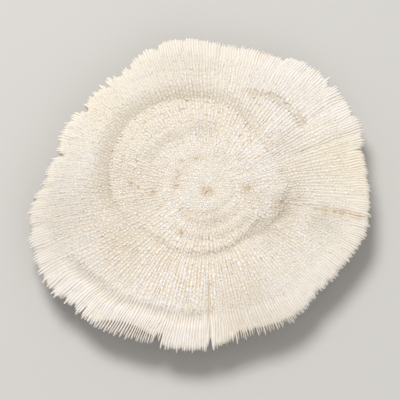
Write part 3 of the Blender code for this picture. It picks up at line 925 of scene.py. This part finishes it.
def make_columella(material):
    """Low spongy ridge along the floor of the mouth."""
    random = np.random.default_rng(COLUMELLA_SEED)
    count = 420
    turn = random.uniform(0.0, 2.0 * np.pi, count)
    share = np.sqrt(random.random(count))
    x = GROWTH_CENTRE[0] + share * MOUTH_FLOOR[0] * COLUMELLA_REACH[0] * np.cos(turn)
    y = GROWTH_CENTRE[1] + share * MOUTH_FLOOR[1] * COLUMELLA_REACH[1] * np.sin(turn)
    radius = random.uniform(0.3, 0.6, count)
    end_change = random.uniform(0.0, 0.7, count)
    bottom = MOUTH_DEPTH + CONE_END + CONE_END_RISE * share ** 2 + end_change
    top = bottom + CONE_LENGTH - CONE_LENGTH_LOSS * share
    levels = []
    for level, size in ((top, 1.0), (bottom + CONE_SHOULDER[0], CONE_SHOULDER[1])):
        px = x[:, None] + radius[:, None] * size * np.cos(dome_angles())
        py = y[:, None] + radius[:, None] * size * np.sin(dome_angles())
        levels.append(np.stack((px, py, np.broadcast_to(level[:, None], px.shape)), axis=2))
    levels.append(np.stack((x, y, bottom), axis=1)[:, None, :])
    points = np.concatenate(levels, axis=1).reshape(-1, 3)
    # Painted shade: darkest where the cones join the mouth's floor
    depth = dome_shades(count, 0.1, 0.6).ravel()
    make_piece("columella", points, dome_faces(count, downward=True), depth, material)


def colour(red, green, blue):
    """Linear colour of an sRGB colour given from 0 to 255."""
    channels = []
    for value in (red, green, blue):
        value /= 255.0
        channels.append(value / 12.92 if value <= 0.04045 else ((value + 0.055) / 1.055) ** 2.4)
    return (*channels, 1.0)


# Brown and yellow stains: x, y, radius, strength
STAINS = (
    (3.3, -4.9, 2.4, 0.80), (22, -3.9, 2.6, 0.40), (-31.7, -0.5, 1.2, 0.75), (-21.2, -5.4, 1.1, 0.75),
    (-28.2, -2.6, 0.9, 0.6), (-24.6, -3.9, 0.9, 0.6), (0.6, -27.2, 0.8, 0.6), (-7.9, -24.8, 1.2, 0.9),
    (48.3, 31.9, 1.6, 0.55), (-10.3, -1.9, 0.9, 0.9), (-10.6, 1.5, 0.8, 0.6), (-10.2, 5.2, 0.9, 0.7),
    (-1.7, 11.4, 1.4, 0.5), (-8.6, 10, 0.9, 0.9), (52.9, -12.6, 1.2, 0.4), (61.6, -13.6, 1.4, 0.6),
    (57, -13.2, 1.7, 0.55), (65, -13.9, 1.8, 0.6), (69, -14.2, 1.9, 0.45), (72.5, -14.5, 1.8, 0.35),
    (4.5, -49, 1.2, 0.5), (4.8, -60, 1.4, 0.4),
)
# Broad patches where the skeleton is warmer: x, y, radius, strength
WARM_PATCHES = (
    (-44, 40, 28, 1), (0, 58, 18, 0.45), (68, 8, 20, 1), (61, -13.6, 7, 0.8), (14, -24, 9, 0.8),
    (-14, -30, 16, 0.3), (10, -48, 22, 0.2), (-24, 14, 14, 0.35), (60, -28, 14, 0.5),
)
# Broad patches of painted shade: x, y, radius, strength
SHADE_PATCHES = (
    (38.4, -13, 7.5, 0.85), (43.5, -9, 7, 0.7), (22, -3.9, 3, 0.6), (26, -9, 6, 0.4), (-50, -6, 14, 0.5),
    (-56, -22, 12, 0.35), (-28, -12, 10, 0.45), (-40, -20, 10, 0.35), (6, -17.5, 7, 0.35), (40, 20, 9, 0.4),
    (55, -18, 8, 0.5), (22, -58, 14, 0.35), (-6, 62, 24, 0.34), (-76, -8, 16, 0.22), (-20, 20, 20, 0.22),
    (-60, -18, 25, 0.58), (-30, 4, 18, 0.36), (31, -21, 10, 0.40), (1, 27, 12, 0.22), (30, 44, 24, 0.2),
    (0, 0, 24, 0.14), (-38, -24, 18, 0.46), (44, 0, 16, 0.3),
)
# Arcs of painted shade around the growth centre: first and last angle, distance, half width, strength
SHADE_ARCS = (
    (75, 155, 31.5, 3, 0.34), (205, 345, 15.5, 1.8, 0.30), (222, 335, 22.5, 1.8, 0.28),
    (50, 130, 17.5, 1.8, 0.16), (0, 60, 23, 2, 0.18), (160, 200, 24, 2, 0.2),
)
# Broad patches where the clefts between the ribs are amber: x, y, radius, strength
AMBER_PATCHES = (
    (-6, -46, 20, 1), (-32, -36, 18, 0.7), (19, -50, 18, 0.8), (1, -20, 10, 0.5), (-46, -26, 12, 0.3),
    (-34, 4, 11, 0.7), (-44, 38, 14, 0.4), (66, 14, 14, 0.6), (20, 30, 12, 0.3), (-4, 66, 16, 0.5),
    (40, -30, 14, 0.5), (57, -13.3, 3, 1), (62, -13.9, 3, 1), (67, -14.5, 3, 1), (72, -15.2, 3, 0.9),
)
FLECKS_AROUND = 46.0  # cells of the flecks' pattern to a radian around the growth centre
FLECKS_ALONG = 300.0  # cells to a metre of distance
FLECKS_BEGIN = (0.10, 0.10)
FLECKS_END = (0.60, 0.25)
FLECKS_STRENGTH = (0.15, 0.9)
FLECKS_PATCHY = (0.75, 0.35, 14.0, 77)  # mean, variation, size, seed
ARC_FADE = 12.0  # degrees over which an arc fades out at its ends
SHADED_GROOVE_DEPTH = 0.3  # depth of a groove from which painted shade, with some dust, gathers in it
GROOVE_SHADE = 0.31  # painted shade, with some dust, for each millimetre beyond that


def patch_value(x, y, patches):
    value = np.zeros(x.shape)
    for patch_x, patch_y, radius, strength in patches:
        value = np.maximum(value, strength * spot(x - patch_x, y - patch_y, radius))
    return value


def arc_shade(degrees, distance):
    value = np.zeros(distance.shape)
    for first, last, radius, half_width, strength in SHADE_ARCS:
        half_turn = 0.5 * (last - first)
        from_middle = np.abs(turn_from(degrees, first + half_turn))
        at_ends = smooth_step((half_turn - from_middle) / ARC_FADE)
        value = np.maximum(value, strength * at_ends * np.exp(-((distance - radius) / half_width) ** 2))
    return value


def painted_shade_and_dust(x, y):
    """Painted shade, with some dust, in the hollows and grooves, over patches and along arcs: 0 for none.
    """
    degrees, distance = polar(x, y)
    in_grooves = GROOVE_SHADE * np.maximum(sunken(degrees, distance) - SHADED_GROOVE_DEPTH, 0.0)
    return np.clip(patch_value(x, y, SHADE_PATCHES) + arc_shade(degrees, distance) + in_grooves, 0.0, 1.0)


def fleck_share(x, y):
    """How much of the clefts' yellow shows: most between the centre and the outer ribs."""
    share = rim_share(*polar(x, y))
    inside = ramp(share, *FLECKS_BEGIN) * (1.0 - ramp(share, *FLECKS_END))
    mean, change, size, seed = FLECKS_PATCHY
    patchy = mean + change * ripple(x, y, size, seed)
    return np.clip(blend(*FLECKS_STRENGTH, inside) * patchy, 0.0, 1.0)


# Colours of the crests, of the clefts, which are darker with painted shade and tan, and of the rest
CREST_WHITE = colour(252, 246, 242)
CREST_CREAM = colour(250, 242, 234)
CREST_MOTTLED = colour(240, 231, 217)
CREST_WARM = colour(251, 240, 220)
# Painted shade, with some dust, on the crests
CREST_SHADED = colour(222, 213, 199)
CLEFT_PALE = colour(236, 227, 212)
CLEFT_SAND = colour(233, 222, 204)
CLEFT_AMBER = colour(224, 202, 168)
CLEFT_FLECK = colour(210, 176, 120)
# Painted shade, with some dust, in the clefts
CLEFT_SHADED = colour(202, 189, 170)
STAIN_BROWN = colour(190, 156, 106)
FLOOR_GREY = colour(205, 203, 199)


def make_skeleton_material():
    material = bpy.data.materials.new("coral_aragonite")
    material.use_nodes = True
    nodes = material.node_tree.nodes
    links = material.node_tree.links

    def feed(node, inputs):
        """Give inputs, by name or number, a plain value or another node's output."""
        for name, value in inputs.items():
            if isinstance(value, bpy.types.NodeSocket):
                links.new(value, node.inputs[name])
            else:
                node.inputs[name].default_value = value

    def add_node(kind, inputs, **settings):
        """Outputs of a new node."""
        node = nodes.new("ShaderNode" + kind)
        for name, value in settings.items():
            setattr(node, name, value)
        feed(node, inputs)
        return node.outputs

    def attribute(name):
        return add_node("Attribute", {}, attribute_name=name)["Fac"]

    def noise(vector, scale, detail):
        return add_node("TexNoise", {"Scale": scale, "Detail": detail, "Vector": vector})["Fac"]

    def spread(value, low, high):
        inputs = {"From Min": low, "From Max": high, "Value": value}
        return add_node("MapRange", inputs, interpolation_type="SMOOTHSTEP")["Result"]

    def times(first, second):
        return add_node("Math", {0: first, 1: second}, operation="MULTIPLY")["Value"]

    def mixed(share, first, second):
        return add_node("Mix", {"Factor": share, "A": first, "B": second}, data_type="RGBA")["Result"]

    def vector_step(operation, *values):
        return add_node("VectorMath", dict(enumerate(values)), operation=operation)

    coords = add_node("TexCoord", {})["Object"]
    centre = (GROWTH_CENTRE[0] * MM, GROWTH_CENTRE[1] * MM, 0.0)
    from_centre = vector_step("SUBTRACT", coords, centre)["Vector"]
    flat = vector_step("MULTIPLY", from_centre, (1.0, 1.0, 0.0))["Vector"]
    heading = vector_step("NORMALIZE", flat)["Vector"]
    around = vector_step("MULTIPLY", heading, (FLECKS_AROUND, FLECKS_AROUND, 0.0))["Vector"]
    away = times(vector_step("LENGTH", flat)["Value"], FLECKS_ALONG)
    along = add_node("CombineXYZ", {"Z": away})["Vector"]
    around_and_along = vector_step("ADD", around, along)["Vector"]

    warm = attribute("warm")
    shade_and_dust = attribute("shade_and_dust")
    amber_noise = noise(around_and_along, scale=0.55, detail=2.0)
    amber = times(attribute("amber"), spread(amber_noise, low=0.38, high=0.60))
    # Painted shade and tan in the clefts, from the cleft value
    rise = spread(attribute("depth"), low=0.05, high=0.75)
    broad = spread(noise(coords, scale=38.0, detail=3.0), low=0.35, high=0.65)
    mottled = spread(noise(coords, scale=330.0, detail=2.0), low=0.40, high=0.75)
    crest = mixed(broad, CREST_WHITE, CREST_CREAM)
    crest = mixed(times(mottled, 0.6), crest, CREST_MOTTLED)
    crest = mixed(warm, crest, CREST_WARM)
    # Painted shade, with some dust, over hollows, grooves and patches
    crest = mixed(shade_and_dust, crest, CREST_SHADED)
    cleft = mixed(broad, CLEFT_PALE, CLEFT_SAND)
    cleft = mixed(amber, cleft, CLEFT_AMBER)
    fleck_noise = noise(around_and_along, scale=1.0, detail=1.0)
    flecks = times(spread(fleck_noise, low=0.58, high=0.70), attribute("fleck"))
    cleft = mixed(flecks, cleft, CLEFT_FLECK)
    # Painted shade, with some dust, in the clefts too
    cleft = mixed(shade_and_dust, cleft, CLEFT_SHADED)
    surface = mixed(rise, cleft, crest)
    stain_noise = noise(coords, scale=900.0, detail=2.0)
    stained = times(attribute("stain"), spread(stain_noise, low=0.30, high=0.60))
    surface = mixed(stained, surface, STAIN_BROWN)
    fine = noise(coords, scale=2600.0, detail=3.0)
    feed(nodes["Principled BSDF"], {
        "Base Color": surface, "Roughness": 0.85, "Specular IOR Level": 0.25,
        "Subsurface Weight": 0.25, "Subsurface Radius": (1.0, 0.85, 0.65), "Subsurface Scale": 0.0012,
        "Normal": add_node("Bump", {"Height": fine, "Strength": 0.35, "Distance": 0.00015})["Normal"],
    })
    return material




def make_floor():
    bpy.ops.mesh.primitive_plane_add(size=3.0, location=(0.0, 0.0, 0.0))
    floor = bpy.context.object
    floor.name = "floor"
    material = bpy.data.materials.new("floor_paper")
    material.use_nodes = True
    shader = material.node_tree.nodes["Principled BSDF"]
    shader.inputs["Base Color"].default_value = FLOOR_GREY
    shader.inputs["Roughness"].default_value = 0.9
    floor.data.materials.append(material)


# Camera: from above the near edge, as in the photograph
CAMERA_ELEVATION = 68.0
CAMERA_DISTANCE = 0.66
CAMERA_LENS = 129.2
CAMERA_TARGET = (-0.00028, -0.00212, 0.018)
CAMERA_SHIFT = (0.0025, -0.02)
LIGHTS_TARGET = (0.0, 0.0, 0.02)


def make_camera():
    data = bpy.data.cameras.new("camera")
    data.lens = CAMERA_LENS
    data.sensor_width = 36.0
    data.shift_x, data.shift_y = CAMERA_SHIFT
    camera = bpy.data.objects.new("camera", data)
    bpy.context.scene.collection.objects.link(camera)
    tilt = math.radians(CAMERA_ELEVATION)
    target = Vector(CAMERA_TARGET)
    camera.location = target + CAMERA_DISTANCE * Vector((0.0, -math.cos(tilt), math.sin(tilt)))
    camera.rotation_euler = (math.radians(90.0) - tilt, 0.0, 0.0)
    bpy.context.scene.camera = camera


def add_area_light(name, location, size, power, tint):
    data = bpy.data.lights.new(name, "AREA")
    data.shape = "DISK"
    data.size = size
    data.energy = power
    data.color = tint
    light = bpy.data.objects.new(name, data)
    bpy.context.scene.collection.objects.link(light)
    light.location = location
    direction = Vector(LIGHTS_TARGET) - light.location
    light.rotation_euler = direction.to_track_quat("-Z", "Y").to_euler()


def make_lights():
    add_area_light("key", (-0.26, 0.46, 1.1), size=0.5, power=10.8, tint=(1.0, 0.99, 0.975))
    add_area_light("fill", (0.3, -0.9, 0.8), size=1.0, power=2.9, tint=(0.98, 0.99, 1.0))
    world = bpy.data.worlds.new("studio")
    world.use_nodes = True
    background = world.node_tree.nodes["Background"]
    background.inputs["Color"].default_value = (1.0, 0.995, 0.99, 1.0)
    background.inputs["Strength"].default_value = 0.385
    bpy.context.scene.world = world


def main():
    bpy.context.scene.view_settings.view_transform = "Standard"
    skeleton = make_skeleton_material()
    make_camera()
    make_wall(skeleton)
    make_plates(skeleton)
    make_grains(skeleton)
    make_columella(skeleton)
    make_floor()
    make_lights()


main()
